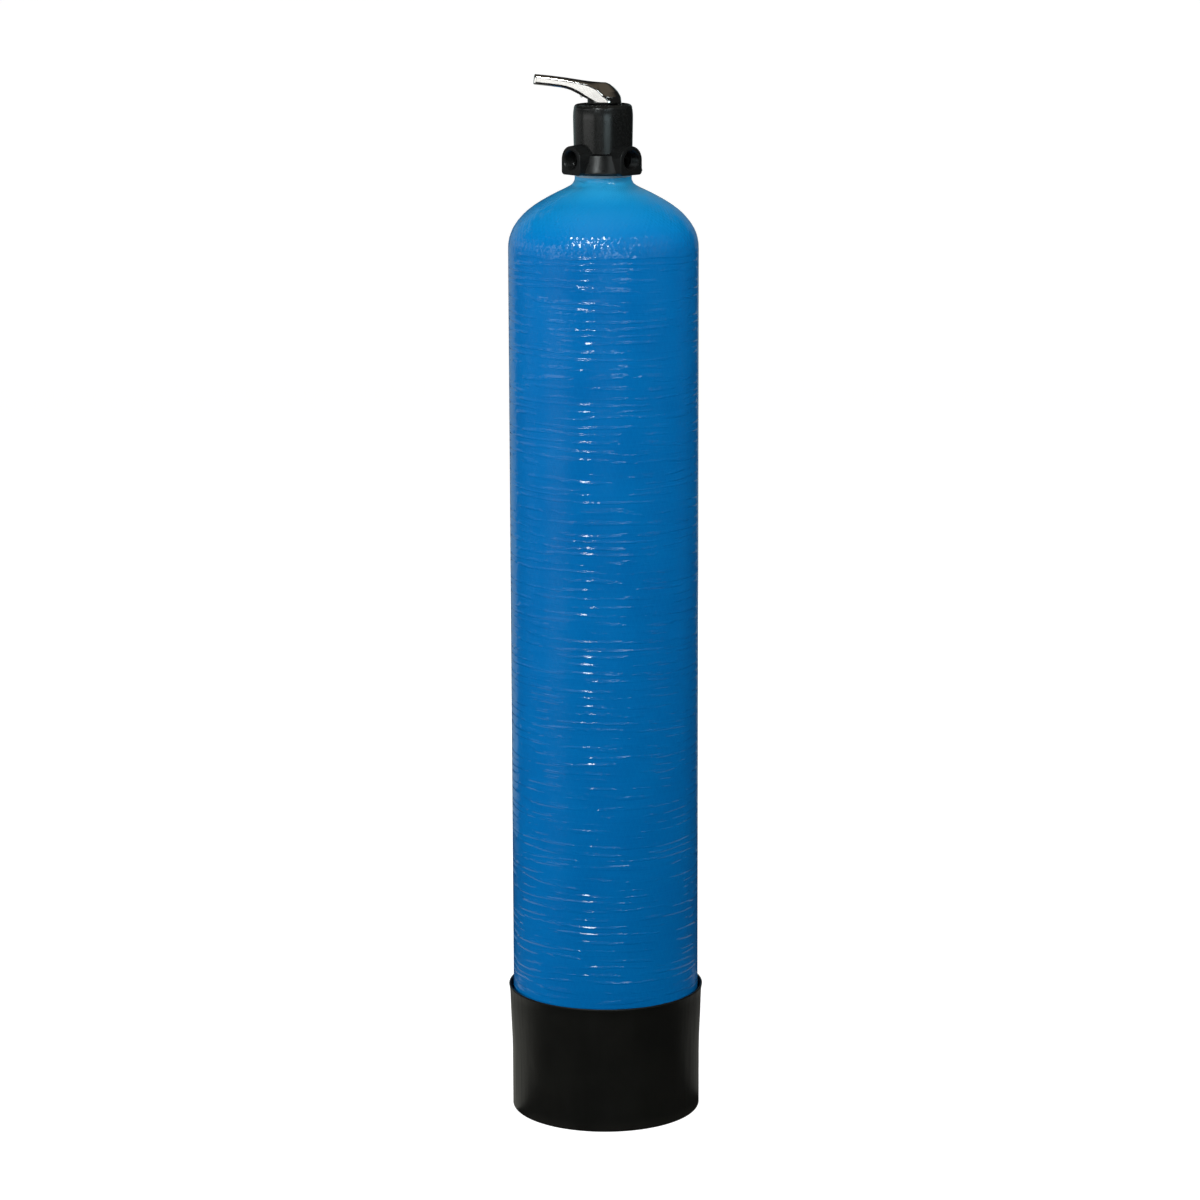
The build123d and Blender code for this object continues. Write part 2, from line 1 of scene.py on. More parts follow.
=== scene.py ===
import math
import bpy
import bmesh
import numpy as np
from mathutils import Matrix, Vector


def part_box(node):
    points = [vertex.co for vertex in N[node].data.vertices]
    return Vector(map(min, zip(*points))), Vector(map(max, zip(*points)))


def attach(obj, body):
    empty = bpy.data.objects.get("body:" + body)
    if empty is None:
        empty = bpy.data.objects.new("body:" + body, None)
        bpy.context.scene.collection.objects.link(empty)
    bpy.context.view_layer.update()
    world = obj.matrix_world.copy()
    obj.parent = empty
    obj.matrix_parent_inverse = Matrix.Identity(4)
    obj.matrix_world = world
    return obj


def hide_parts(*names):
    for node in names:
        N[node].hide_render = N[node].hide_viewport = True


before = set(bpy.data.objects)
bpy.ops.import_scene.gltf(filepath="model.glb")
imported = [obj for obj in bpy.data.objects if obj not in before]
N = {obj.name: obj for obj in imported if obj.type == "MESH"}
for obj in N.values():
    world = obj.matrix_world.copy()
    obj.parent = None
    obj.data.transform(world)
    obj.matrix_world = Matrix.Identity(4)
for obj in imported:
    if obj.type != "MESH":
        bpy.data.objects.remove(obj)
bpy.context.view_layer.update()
scene = bpy.context.scene
scene.view_settings.view_transform = "Standard"
scene.view_settings.look = "None"


# ---------------------------------------------------------------- camera
# Eye height 1.854 m, 5.46 m in front of the vessel, looking along +Y and down by 11.5 degrees.
def make_camera():
    pitch, roll, yaw = math.radians(11.4956), math.radians(-0.1873), math.radians(0.0666)
    c, s = math.cos(yaw), math.sin(yaw)
    right = Vector((c, s, 0))
    fwd_h = Vector((-s, c, 0))
    up_z = Vector((0, 0, 1))
    fwd = fwd_h * math.cos(pitch) - up_z * math.sin(pitch)
    up = fwd_h * math.sin(pitch) + up_z * math.cos(pitch)
    r2 = right * math.cos(roll) + up * math.sin(roll)
    u2 = -right * math.sin(roll) + up * math.cos(roll)
    m = Matrix((r2, u2, -fwd)).transposed().to_4x4()
    m.translation = Vector((0.0, -5.4608, 1.8538))
    data = bpy.data.cameras.new("cam")
    data.sensor_width = 36.0
    data.sensor_fit = "HORIZONTAL"
    data.lens = 118.24
    data.clip_end = 100
    cam = bpy.data.objects.new("cam", data)
    scene.collection.objects.link(cam)
    cam.matrix_world = m
    scene.camera = cam


make_camera()


# ---------------------------------------------------------------- helpers
class Tree:
    """Small helper that adds nodes and links to a material's tree."""

    def __init__(self, name):
        self.mat = bpy.data.materials.new(name)
        self.mat.use_nodes = True
        self.t = self.mat.node_tree
        self.t.nodes.clear()
        self.out = self.t.nodes.new("ShaderNodeOutputMaterial")
        self.p = self.t.nodes.new("ShaderNodeBsdfPrincipled")
        self.t.links.new(self.p.outputs[0], self.out.inputs[0])
        tc = self.t.nodes.new("ShaderNodeTexCoord")
        self.obj = tc.outputs["Object"]

    def link(self, a, b):
        self.t.links.new(a, b)

    def put(self, socket, value):
        if isinstance(value, bpy.types.NodeSocket):
            self.t.links.new(value, socket)
        else:
            socket.default_value = value

    def math(self, op, a, b=None, c=None, clamp=False):
        n = self.t.nodes.new("ShaderNodeMath")
        n.operation = op
        n.use_clamp = clamp
        for i, v in enumerate((a, b, c)):
            if v is not None:
                self.put(n.inputs[i], v)
        return n.outputs[0]

    def vmul(self, v, xyz):
        n = self.t.nodes.new("ShaderNodeVectorMath")
        n.operation = "MULTIPLY"
        self.put(n.inputs[0], v)
        n.inputs[1].default_value = xyz
        return n.outputs[0]

    def vadd(self, v, w):
        n = self.t.nodes.new("ShaderNodeVectorMath")
        n.operation = "ADD"
        self.put(n.inputs[0], v)
        self.put(n.inputs[1], w)
        return n.outputs[0]

    def sep(self, v):
        n = self.t.nodes.new("ShaderNodeSeparateXYZ")
        self.put(n.inputs[0], v)
        return n.outputs

    def comb(self, x, y, z):
        n = self.t.nodes.new("ShaderNodeCombineXYZ")
        for i, v in enumerate((x, y, z)):
            self.put(n.inputs[i], v)
        return n.outputs[0]

    def noise(self, vec, scale, detail=2.0, rough=0.5, distortion=0.0):
        n = self.t.nodes.new("ShaderNodeTexNoise")
        self.put(n.inputs["Vector"], vec)
        n.inputs["Scale"].default_value = scale
        n.inputs["Detail"].default_value = detail
        n.inputs["Roughness"].default_value = rough
        n.inputs["Distortion"].default_value = distortion
        return n.outputs["Fac"]

    def voronoi(self, vec, scale, feature="F1", out="Distance", randomness=1.0):
        n = self.t.nodes.new("ShaderNodeTexVoronoi")
        n.feature = feature
        self.put(n.inputs["Vector"], vec)
        n.inputs["Scale"].default_value = scale
        n.inputs["Randomness"].default_value = randomness
        return n.outputs[out]

    def range(self, v, a, b, c, d, smooth=False):
        n = self.t.nodes.new("ShaderNodeMapRange")
        n.interpolation_type = "SMOOTHSTEP" if smooth else "LINEAR"
        self.put(n.inputs["Value"], v)
        n.inputs["From Min"].default_value = a
        n.inputs["From Max"].default_value = b
        n.inputs["To Min"].default_value = c
        n.inputs["To Max"].default_value = d
        return n.outputs[0]

    def mix(self, f, a, b):
        n = self.t.nodes.new("ShaderNodeMix")
        n.data_type = "RGBA"
        self.put(n.inputs["Factor"], f)
        self.put(n.inputs["A"], (*a, 1) if isinstance(a, tuple) and len(a) == 3 else a)
        self.put(n.inputs["B"], (*b, 1) if isinstance(b, tuple) and len(b) == 3 else b)
        return n.outputs["Result"]

    def bump(self, height, distance, strength=1.0, normal=None):
        n = self.t.nodes.new("ShaderNodeBump")
        n.inputs["Strength"].default_value = strength
        n.inputs["Distance"].default_value = distance
        self.put(n.inputs["Height"], height)
        if normal is not None:
            self.put(n.inputs["Normal"], normal)
        return n.outputs[0]


def wear(node, mat):
    """Gives every slot of a CAD node's object this material."""
    o = N[node] if isinstance(node, str) else node
    if not o.data.materials:
        o.data.materials.append(mat)
    for i in range(len(o.data.materials)):
        o.data.materials[i] = mat
    for s in o.material_slots:
        s.material = mat


def mesh_object(name, verts, faces, smooth=True):
    me = bpy.data.meshes.new(name)
    me.from_pydata([tuple(v) for v in verts], [], [tuple(f) for f in faces])
    me.update()
    o = bpy.data.objects.new(name, me)
    scene.collection.objects.link(o)
    if smooth:
        me.polygons.foreach_set("use_smooth", [True] * len(me.polygons))
    return o


# ---------------------------------------------------------------- materials
def fibreglass():
    """Glass fibre wound round and round over crossed helical layers, under blue pigmented resin."""
    m = Tree("wound_fibreglass_blue")
    x, y, z = m.sep(m.obj)
    theta = m.math("ARCTAN2", y, x)
    turn = m.math("MULTIPLY", theta, 1 / (2 * math.pi))
    # slow wander of the winding, so that no two bands are alike
    slow = m.noise(m.vmul(m.obj, (4.0, 4.0, 34.0)), 1.0, 2.0, 0.5)
    wander = m.math("MULTIPLY", m.math("SUBTRACT", slow, 0.5), 0.030)
    pitch = 0.0118
    climb = m.math("ADD", z, m.math("MULTIPLY", turn, pitch))
    phase = m.math("FRACT", m.math("MULTIPLY", m.math("ADD", climb, wander), 1 / pitch))
    # each band: a low crown with a raised edge where the next one overlaps it
    fall = m.range(phase, 0.0, 0.42, 1.0, 0.0, smooth=True)
    rise = m.range(phase, 0.82, 1.0, 0.0, 1.0, smooth=True)
    lip = m.math("MAXIMUM", fall, rise)
    strength = m.noise(m.vmul(m.obj, (17.0, 17.0, 52.0)), 1.0, 3.0, 0.62)
    lip_amt = m.range(strength, 0.41, 0.60, 0.0, 1.0, smooth=True)
    up = m.range(z, 1.238, 1.256, 0.0, 1.0, smooth=True)
    wall = m.math("SUBTRACT", 1.0, up)
    hoop_h = m.math("MULTIPLY", m.math("MULTIPLY", lip, lip_amt), wall)
    # single strands
    strand = m.noise(m.vmul(m.obj, (9.0, 9.0, 560.0)), 1.0, 3.0, 0.62)
    strand2 = m.noise(m.vmul(m.obj, (26.0, 26.0, 1500.0)), 1.0, 2.0, 0.5)
    # crossed helical layers, plain on the domes and just felt on the wall
    radial = m.math("SQRT", m.math("ADD", m.math("MULTIPLY", x, x), m.math("MULTIPLY", y, y)))
    slope = m.math("MULTIPLY", m.math("SUBTRACT", 0.1325, radial), 2.2)
    run = m.math("ADD", z, slope)
    cross_noise = m.math("MULTIPLY", m.math("SUBTRACT", m.noise(m.obj, 26.0, 2.0), 0.5), 3.2)
    k = 92.0
    layers = []
    for sign in ("ADD", "SUBTRACT"):
        ph = m.math("ADD", m.math(sign, m.math("MULTIPLY", theta, k), m.math("MULTIPLY", run, 270.0)), cross_noise)
        layers.append(m.math("PINGPONG", m.math("MULTIPLY", ph, 1 / math.pi), 1.0))
    crossed = m.math("MAXIMUM", layers[0], layers[1])
    uneven = m.range(m.noise(m.obj, 75.0, 2.0), 0.36, 0.60, 0.35, 1.0)
    cross_gain = m.math("MULTIPLY", m.range(z, 1.236, 1.254, 0.15, 1.0, smooth=True), uneven)
    cross_h = m.math("MULTIPLY", crossed, cross_gain)
    # resin that has run and set in small hills
    resin = m.noise(m.vmul(m.obj, (60.0, 60.0, 130.0)), 1.0, 2.0, 0.5)
    resin_big = m.noise(m.vmul(m.obj, (14.0, 14.0, 36.0)), 1.0, 2.0, 0.5)
    h = m.math("MULTIPLY", hoop_h, 0.34)
    h = m.math("ADD", h, m.math("MULTIPLY", m.math("MULTIPLY", strand, wall), 0.24))
    h = m.math("ADD", h, m.math("MULTIPLY", strand2, 0.06))
    h = m.math("ADD", h, m.math("MULTIPLY", cross_h, 0.6))
    h = m.math("ADD", h, m.math("MULTIPLY", resin, 0.30))
    h = m.math("ADD", h, m.math("MULTIPLY", resin_big, 0.8))
    soft = m.bump(h, 0.00030, 1.0)
    hc = m.math("ADD", m.math("MULTIPLY", hoop_h, 3.0), m.math("MULTIPLY", cross_h, 1.35))
    hc = m.math("ADD", hc, m.math("MULTIPLY", m.math("MULTIPLY", strand, wall), 0.12))
    hc = m.math("ADD", hc, m.math("MULTIPLY", resin, 0.55))
    hc = m.math("ADD", hc, m.math("MULTIPLY", resin_big, 1.0))
    coat = m.bump(hc, 0.00055, 1.0)
    # colour: thin and thick resin, strands a little lighter, seams a little darker, and painted light on the dome and
    # neck
    patch = m.noise(m.vmul(m.obj, (9.0, 9.0, 14.0)), 1.0, 3.0, 0.55)
    col = m.mix(m.range(patch, 0.3, 0.7, 0.0, 1.0), (0.0, 0.138, 0.430), (0.0, 0.160, 0.475))
    col = m.mix(m.math("MULTIPLY", m.range(strand, 0.45, 0.75, 0.0, 1.0), 0.30), col, (0.0, 0.180, 0.520))
    col = m.mix(m.math("MULTIPLY", m.range(strand2, 0.50, 0.75, 0.0, 1.0), 0.20), col, (0.0, 0.095, 0.340))
    col = m.mix(m.math("MULTIPLY", m.range(crossed, 0.80, 1.0, 0.0, 1.0), 0.14), col, (0.0, 0.21, 0.58))
    col = m.mix(m.math("MULTIPLY", hoop_h, 0.10), col, (0.0, 0.100, 0.350))
    # painted light: the dome is mixed lighter towards the top where it faces the overhead light, and the neck lighter
    # still where the valve flange shades it
    col = m.mix(m.math("MULTIPLY", m.range(z, 1.235, 1.32, 0.0, 1.0, smooth=True), 0.65), col, (0.0, 0.245, 0.520))
    col = m.mix(m.math("MULTIPLY", m.range(z, 1.305, 1.335, 0.0, 1.0, smooth=True), 0.75), col, (0.03, 0.36, 0.66))
    m.put(m.p.inputs["Base Color"], col)
    m.put(m.p.inputs["Roughness"], m.range(resin, 0.3, 0.7, 0.34, 0.46))
    m.p.inputs["Specular IOR Level"].default_value = 0.06
    m.p.inputs["Coat Weight"].default_value = 0.80
    m.p.inputs["Coat Roughness"].default_value = 0.10
    m.put(m.p.inputs["Normal"], soft)
    m.put(m.p.inputs["Coat Normal"], coat)
    return m.mat


def black_plastic(name, base=(0.0065, 0.0065, 0.006), rough=(0.42, 0.55), grain=1400.0, bump=0.00006, level=0.35, haze=0.5):
    """Moulded black plastic: fine grain, slow sink marks and a little handling haze."""
    m = Tree(name)
    fine = m.noise(m.obj, grain, 3.0, 0.6)
    mid = m.noise(m.obj, 120.0, 2.0, 0.5)
    slow = m.noise(m.vmul(m.obj, (1.0, 1.0, 0.5)), 14.0, 3.0, 0.55)
    h = m.math("ADD", m.math("MULTIPLY", fine, 0.55), m.math("MULTIPLY", mid, 0.9))
    h = m.math("ADD", h, m.math("MULTIPLY", slow, 3.0))
    lighter = tuple(c * (1 + haze) + 0.002 * haze for c in base)
    col = m.mix(m.range(slow, 0.35, 0.7, 0.0, 1.0), base, lighter)
    col = m.mix(m.math("MULTIPLY", m.range(fine, 0.5, 0.8, 0.0, 1.0), 0.25), col, tuple(c * 1.8 + 0.001 for c in base))
    m.put(m.p.inputs["Base Color"], col)
    m.put(m.p.inputs["Roughness"], m.range(m.math("ADD", mid, m.math("MULTIPLY", slow, 0.6)), 0.5, 1.1, rough[0], rough[1]))
    m.p.inputs["Specular IOR Level"].default_value = level
    m.put(m.p.inputs["Normal"], m.bump(h, bump, 1.0))
    return m.mat


def boot_plastic():
    """Black moulded boot: satin, with faint upright drag lines and dusty lower edge."""
    m = Tree("boot_black_satin")
    x, y, z = m.sep(m.obj)
    fine = m.noise(m.obj, 1100.0, 3.0, 0.6)
    drag = m.noise(m.vmul(m.obj, (160.0, 160.0, 7.0)), 1.0, 3.0, 0.6)
    slow = m.noise(m.obj, 11.0, 3.0, 0.55)
    spots = m.voronoi(m.obj, 95.0)
    speck = m.range(spots, 0.0, 0.10, 1.0, 0.0)
    h = m.math("ADD", m.math("MULTIPLY", fine, 0.5), m.math("MULTIPLY", drag, 0.7))
    h = m.math("ADD", h, m.math("MULTIPLY", slow, 5.0))
    col = m.mix(m.range(slow, 0.3, 0.72, 0.0, 1.0), (0.0052, 0.0052, 0.0046), (0.0088, 0.0088, 0.0076))
    dust = m.math("MULTIPLY", m.range(z, 0.0, 0.018, 1.0, 0.0, smooth=True), m.range(slow, 0.35, 0.65, 0.2, 1.0))
    col = m.mix(m.math("MULTIPLY", dust, 0.35), col, (0.030, 0.029, 0.025))
    col = m.mix(m.math("MULTIPLY", speck, 0.06), col, (0.05, 0.05, 0.045))
    m.put(m.p.inputs["Base Color"], col)
    m.put(m.p.inputs["Roughness"], m.range(drag, 0.3, 0.7, 0.36, 0.50))
    m.p.inputs["Specular IOR Level"].default_value = 0.34
    m.put(m.p.inputs["Normal"], m.bump(h, 0.00009, 1.0))
    return m.mat


def chrome():
    """Bright plate on a polished casting: very slight ripple and a few hairlines."""
    m = Tree("lever_bright_chrome")
    ripple = m.noise(m.obj, 55.0, 2.0, 0.5)
    hair = m.noise(m.vmul(m.obj, (60.0, 900.0, 900.0)), 1.0, 2.0, 0.6)
    h = m.math("ADD", m.math("MULTIPLY", ripple, 1.0), m.math("MULTIPLY", hair, 0.05))
    col = m.mix(m.range(ripple, 0.3, 0.7, 0.0, 1.0), (0.83, 0.82, 0.80), (0.88, 0.87, 0.85))
    m.put(m.p.inputs["Base Color"], col)
    m.p.inputs["Metallic"].default_value = 1.0
    m.put(m.p.inputs["Roughness"], m.range(hair, 0.35, 0.7, 0.11, 0.13))
    m.put(m.p.inputs["Normal"], m.bump(h, 0.00003, 1.0))
    return m.mat


def pale_plastic(name, a, b, rough=0.42, clear=0.0):
    m = Tree(name)
    slow = m.noise(m.obj, 30.0, 3.0, 0.55)
    fine = m.noise(m.obj, 700.0, 2.0, 0.6)
    m.put(m.p.inputs["Base Color"], m.mix(m.range(slow, 0.3, 0.7, 0.0, 1.0), a, b))
    m.put(m.p.inputs["Roughness"], m.range(fine, 0.3, 0.7, rough - 0.05, rough + 0.06))
    m.put(m.p.inputs["Normal"], m.bump(m.math("ADD", slow, m.math("MULTIPLY", fine, 0.3)), 0.00008, 1.0))
    return m.mat


def rubber():
    m = Tree("seal_rubber_black")
    fine = m.noise(m.obj, 1800.0, 2.0, 0.6)
    bloom = m.noise(m.obj, 60.0, 3.0, 0.6)
    m.put(m.p.inputs["Base Color"], m.mix(m.range(bloom, 0.4, 0.75, 0.0, 1.0), (0.011, 0.011, 0.011), (0.026, 0.026, 0.025)))
    m.put(m.p.inputs["Roughness"], m.range(fine, 0.3, 0.7, 0.50, 0.68))
    m.put(m.p.inputs["Normal"], m.bump(fine, 0.00004, 1.0))
    return m.mat


def ceramic():
    m = Tree("disc_lapped_ceramic")
    x, y, z = m.sep(m.obj)
    lap = m.noise(m.vmul(m.obj, (900.0, 900.0, 40.0)), 1.0, 3.0, 0.6)
    body = m.noise(m.obj, 260.0, 3.0, 0.55)
    m.put(m.p.inputs["Base Color"], m.mix(m.range(body, 0.35, 0.7, 0.0, 1.0), (0.80, 0.78, 0.72), (0.88, 0.86, 0.81)))
    m.put(m.p.inputs["Roughness"], m.range(lap, 0.3, 0.7, 0.16, 0.30))
    m.put(m.p.inputs["Normal"], m.bump(lap, 0.00001, 1.0))
    return m.mat


def steel():
    m = Tree("pin_stainless_steel")
    turn = m.noise(m.vmul(m.obj, (1600.0, 90.0, 1600.0)), 1.0, 3.0, 0.6)
    m.put(m.p.inputs["Base Color"], m.mix(m.range(turn, 0.3, 0.7, 0.0, 1.0), (0.52, 0.52, 0.51), (0.62, 0.61, 0.59)))
    m.p.inputs["Metallic"].default_value = 1.0
    m.put(m.p.inputs["Roughness"], m.range(turn, 0.3, 0.7, 0.18, 0.30))
    m.put(m.p.inputs["Normal"], m.bump(turn, 0.00002, 1.0))
    return m.mat


def grains(name, a, b, c, scale, bump, rough):
    """Loose bed: rounded grains of mixed colour packed together, with painted shade in the gaps between grains."""
    m = Tree(name)
    d = m.voronoi(m.obj, scale)
    cell = m.t.nodes.new("ShaderNodeTexVoronoi")
    m.put(cell.inputs["Vector"], m.obj)
    cell.inputs["Scale"].default_value = scale
    tone = m.sep(cell.outputs["Color"])[0]
    col = m.mix(m.range(tone, 0.2, 0.8, 0.0, 1.0), a, b)
    # painted shade: each grain darkens towards its cell edge into the third colour, where the gaps between grains lie
    col = m.mix(m.range(d, 0.25, 0.75, 0.0, 0.85), col, c)
    m.put(m.p.inputs["Base Color"], col)
    m.put(m.p.inputs["Roughness"], m.range(tone, 0.0, 1.0, rough - 0.1, rough + 0.1))
    m.put(m.p.inputs["Normal"], m.bump(m.math("SUBTRACT", 1.0, d), bump, 1.0))
    return m.mat


M_tank = fibreglass()
M_boot = boot_plastic()
M_body = black_plastic("valve_black_moulding", (0.0050, 0.0055, 0.0055), (0.25, 0.34), 1500.0, 0.00003, 0.24, 0.4)
M_cap = black_plastic("cap_black_moulding", (0.0055, 0.0060, 0.0058), (0.22, 0.30), 1700.0, 0.00002, 0.50, 0.4)
M_stem = black_plastic("stem_black_moulding", (0.006, 0.006, 0.006), (0.34, 0.46), 1500.0, 0.00004, 0.40, 0.3)
M_basket = black_plastic("basket_grey_moulding", (0.045, 0.047, 0.052), (0.42, 0.55), 900.0, 0.00006, 0.40, 0.2)
M_chrome = chrome()
M_insert = pale_plastic("insert_pale_moulding", (0.16, 0.26, 0.33), (0.22, 0.33, 0.40), 0.38)
M_liner = pale_plastic("liner_natural_polyethylene", (0.66, 0.68, 0.67), (0.74, 0.76, 0.74), 0.40)
M_pipe = pale_plastic("riser_white_pipe", (0.78, 0.78, 0.75), (0.84, 0.84, 0.81), 0.30)
M_washer = pale_plastic("washer_white_ptfe", (0.82, 0.82, 0.80), (0.88, 0.88, 0.86), 0.45)
M_rubber = rubber()
M_ceramic = ceramic()
M_steel = steel()
# the third colour of each bed is painted shade in the gaps between grains
M_gravel = grains("washed_gravel", (0.42, 0.36, 0.28), (0.24, 0.22, 0.20), (0.06, 0.05, 0.045), 190.0, 0.0018, 0.62)
M_media = grains("black_granular_medium", (0.022, 0.022, 0.023), (0.045, 0.045, 0.046), (0.004, 0.004, 0.004), 620.0, 0.0006, 0.55)

wear("tank_shell", M_tank)
wear("tank_base", M_boot)
wear("valve_body", M_body)
wear("valve_cap", M_cap)
wear("stem", M_stem)
wear("lever", M_chrome)
wear("lever_pin", M_steel)
wear("lever_spring", M_steel)
wear("neck_insert", M_insert)
wear("tank_liner", M_liner)
wear("riser_tube", M_pipe)
wear("anti_friction_washer", M_washer)
for n in ("tank_seal_o_ring", "riser_o_ring", "disc_gasket", "cap_o_ring", "stem_o_rings"):
    wear(n, M_rubber)
for n in ("fixed_disc", "moving_disc"):
    wear(n, M_ceramic)
for n in ("lower_distributor", "upper_distributor", "riser_seal_retainer"):
    wear(n, M_basket)
wear("gravel_bed", M_gravel)
wear("filter_media", M_media)


# ---------------------------------------------------------------- thread in each port
def port_thread(name, deg):
    """Helical ridge of a 3/4 inch pipe thread, 14 turns to the inch, inside a port's bore."""
    pitch, turns, seg = 0.0254 / 14, 8, 56
    r_root, r_crest = 0.01322, 0.01212
    x0 = 0.0593 - 0.0016
    verts, faces = [], []
    steps = turns * seg
    for i in range(steps + 1):
        a = 2 * math.pi * i / seg
        x = x0 - pitch * i / seg
        grow = min(1.0, i / (0.6 * seg), (steps - i) / (0.6 * seg))
        rc = r_root - (r_root - r_crest) * grow
        for r, dx in ((r_root, pitch * 0.46), (rc, pitch * 0.07), (rc, -pitch * 0.07), (r_root, -pitch * 0.46)):
            verts.append((x + dx, r * math.cos(a), 1.367 + r * math.sin(a)))
    for i in range(steps):
        p, q = 4 * i, 4 * (i + 1)
        for j in range(4):
            k = (j + 1) % 4
            faces.append((p + j, p + k, q + k, q + j))
    faces.append((3, 2, 1, 0))
    e = 4 * steps
    faces.append((e, e + 1, e + 2, e + 3))
    o = mesh_object(name, verts, faces, smooth=False)
    bm = bmesh.new()
    bm.from_mesh(o.data)
    bmesh.ops.recalc_face_normals(bm, faces=bm.faces)
    bm.to_mesh(o.data)
    bm.free()
    o.data.transform(Matrix.Rotation(math.radians(deg), 4, "Z"))
    o.data.materials.append(M_body)
    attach(o, "vessel")
    return o


for port, deg in (("inlet", -139.0), ("drain", -49.0), ("outlet", 90.0)):
    port_thread("thread_" + port, deg)


# ---------------------------------------------------------------- lever with rounded edges
def poly_distance(px, py, poly):
    """Signed distance from points to a closed polygon, negative inside."""
    d = np.full(px.shape, 1e18)
    inside = np.zeros(px.shape, bool)
    n = len(poly)
    for i in range(n):
        ax, ay = poly[i]
        bx, by = poly[(i + 1) % n]
        ex, ey = bx - ax, by - ay
        wx, wy = px - ax, py - ay
        t = np.clip((wx * ex + wy * ey) / (ex * ex + ey * ey), 0, 1)
        d = np.minimum(d, (wx - ex * t) ** 2 + (wy - ey * t) ** 2)
        if ay != by:
            hit = ((ay > py) != (by > py)) & (px < ax + ex * (py - ay) / ey)
            inside ^= hit
    return np.where(inside, -1.0, 1.0) * np.sqrt(d)


def meet(a, b, k):
    """Intersection of two distance fields with a rounded edge of about k."""
    h = np.clip(k - np.abs(a - b), 0, None) / k
    return np.maximum(a, b) + h * h * k * 0.25


LEVER_SIDE = [(-94.4, 1483.2), (-75, 1481.3), (-57.3, 1479.1), (-43.5, 1476.7), (-29.7, 1474.6), (-16.0, 1472.7),
              (-2.2, 1471.1), (30, 1471.1), (30, 1443.4), (-8.6, 1443.4), (-14.5, 1446.2), (-25.2, 1451.0),
              (-29.8, 1453.7), (-36.5, 1457.3), (-43.6, 1460.8), (-50, 1462.9), (-57.3, 1464.5), (-75, 1466.6),
              (-95.7, 1468.6), (-96.4, 1469.6)]
heel = []
cx = (25.5 ** 2 - 10.5 ** 2 - 24.2 ** 2) / (2 * (25.5 - 10.5))
cr = 25.5 - cx
a0 = math.atan2(24.2, 10.5 - cx)
for i in range(33):
    a = a0 - 2 * a0 * i / 32
    heel.append((cx + cr * math.cos(a), cr * math.sin(a)))
LEVER_PLAN = [(-16, -22.4), (-94.8, -9.5), (-97.8, -6.5), (-97.8, 6.5), (-94.8, 9.5), (-16, 22.4)] + heel
RIDGE = np.array([(-100, 1483.9), (-75, 1481.4), (-50, 1477.9), (-33, 1475.1), (-21, 1473.4), (-12, 1472.2), (0, 1471.3), (40, 1471.3)])
DROP = np.array([(-100, 1.6 / 14 ** 2), (-75, 1.8 / 16 ** 2), (-50, 1.4 / 19 ** 2), (-33, 1.5 / 22 ** 2), (-21, 4.0 / 24 ** 2),
                 (-12, 9.2 / 26 ** 2), (0, 18.0 / 26.6 ** 2), (40, 18.0 / 26.6 ** 2)])
DOME = np.array([(0, 1471.3), (2.4, 1471.1), (4.7, 1470.6), (9.5, 1468.4), (15.2, 1464.1), (20.4, 1458.6), (24.3, 1451.9), (25.5, 1446.6),
                 (25.8, 1441.0), (26.0, 1430.0), (60.0, 1300.0)])
INNER = np.array([(0, 1467.4), (4.7, 1467.0), (9.3, 1465.0), (14.4, 1461.2), (19.0, 1456.4), (22.2, 1450.6), (23.2, 1445.6),
                  (23.4, 1440.0), (23.6, 1430.0), (60.0, 1300.0)])


def dome_distance(r, z, prof):
    poly = [(-60.0, prof[0][1])] + [tuple(q) for q in prof[:-1]] + [(prof[-2][0], 1400.0), (-60.0, 1400.0)]
    return poly_distance(r, z, poly)


def lever_field(x, y, z):
    side = poly_distance(x, z, LEVER_SIDE)
    plan = poly_distance(x, y, LEVER_PLAN)
    ridge = np.interp(x, RIDGE[:, 0], RIDGE[:, 1])
    drop = np.interp(x, DROP[:, 0], DROP[:, 1])
    top = (z - (ridge - drop * y * y)) / np.sqrt(1 + (2 * drop * y) ** 2)
    r = np.hypot(np.maximum(x, 0.0), y)
    dome = dome_distance(r, z, DOME)
    w = np.clip((x + 9.0) / 12.0, 0, 1)
    w = w * w * (3 - 2 * w)
    cap = top * (1 - w) + dome * w
    k = np.interp(x, [-30.0, -4.0], [4.2, 1.3])
    outer = meet(meet(side, plan, k), cap, k)
    rin = np.hypot(x, y)
    hollow = dome_distance(rin, z, INNER)
    root = poly_distance(x, y, [(0, -19), (-26.4, -15.2), (-26.4, 15.2), (0, 19)])
    hollow = np.minimum(hollow, np.maximum(root, z - 1458.0))
    hollow = np.maximum(hollow, np.abs(y) - 21.6)
    f = np.maximum(outer, -hollow)
    eye = np.maximum(np.hypot(x + 8.2, z - 1455.0) - 4.8, np.abs(np.abs(y) - 19.6) - 2.6)
    f = np.minimum(f, eye)
    f = np.maximum(f, 6.2 - np.hypot(x + 16.0, y) - np.clip(z - 1465.6, 0, None) * 6)
    f = np.maximum(f, -np.maximum(np.hypot(x + 8.2, z - 1455.0) - 2.80, np.abs(y) - 22.5))
    tooth = np.maximum(np.maximum(np.abs(x - 24.2) - 1.2, np.abs(y) - 2.2), np.abs(z - 1443.5) - 2.0)
    f = np.minimum(f, tooth)
    rest = np.maximum(np.hypot(x + 29.6, z - 1452.9) - 2.2, np.abs(y) - 8.5)
    return np.minimum(f, rest)


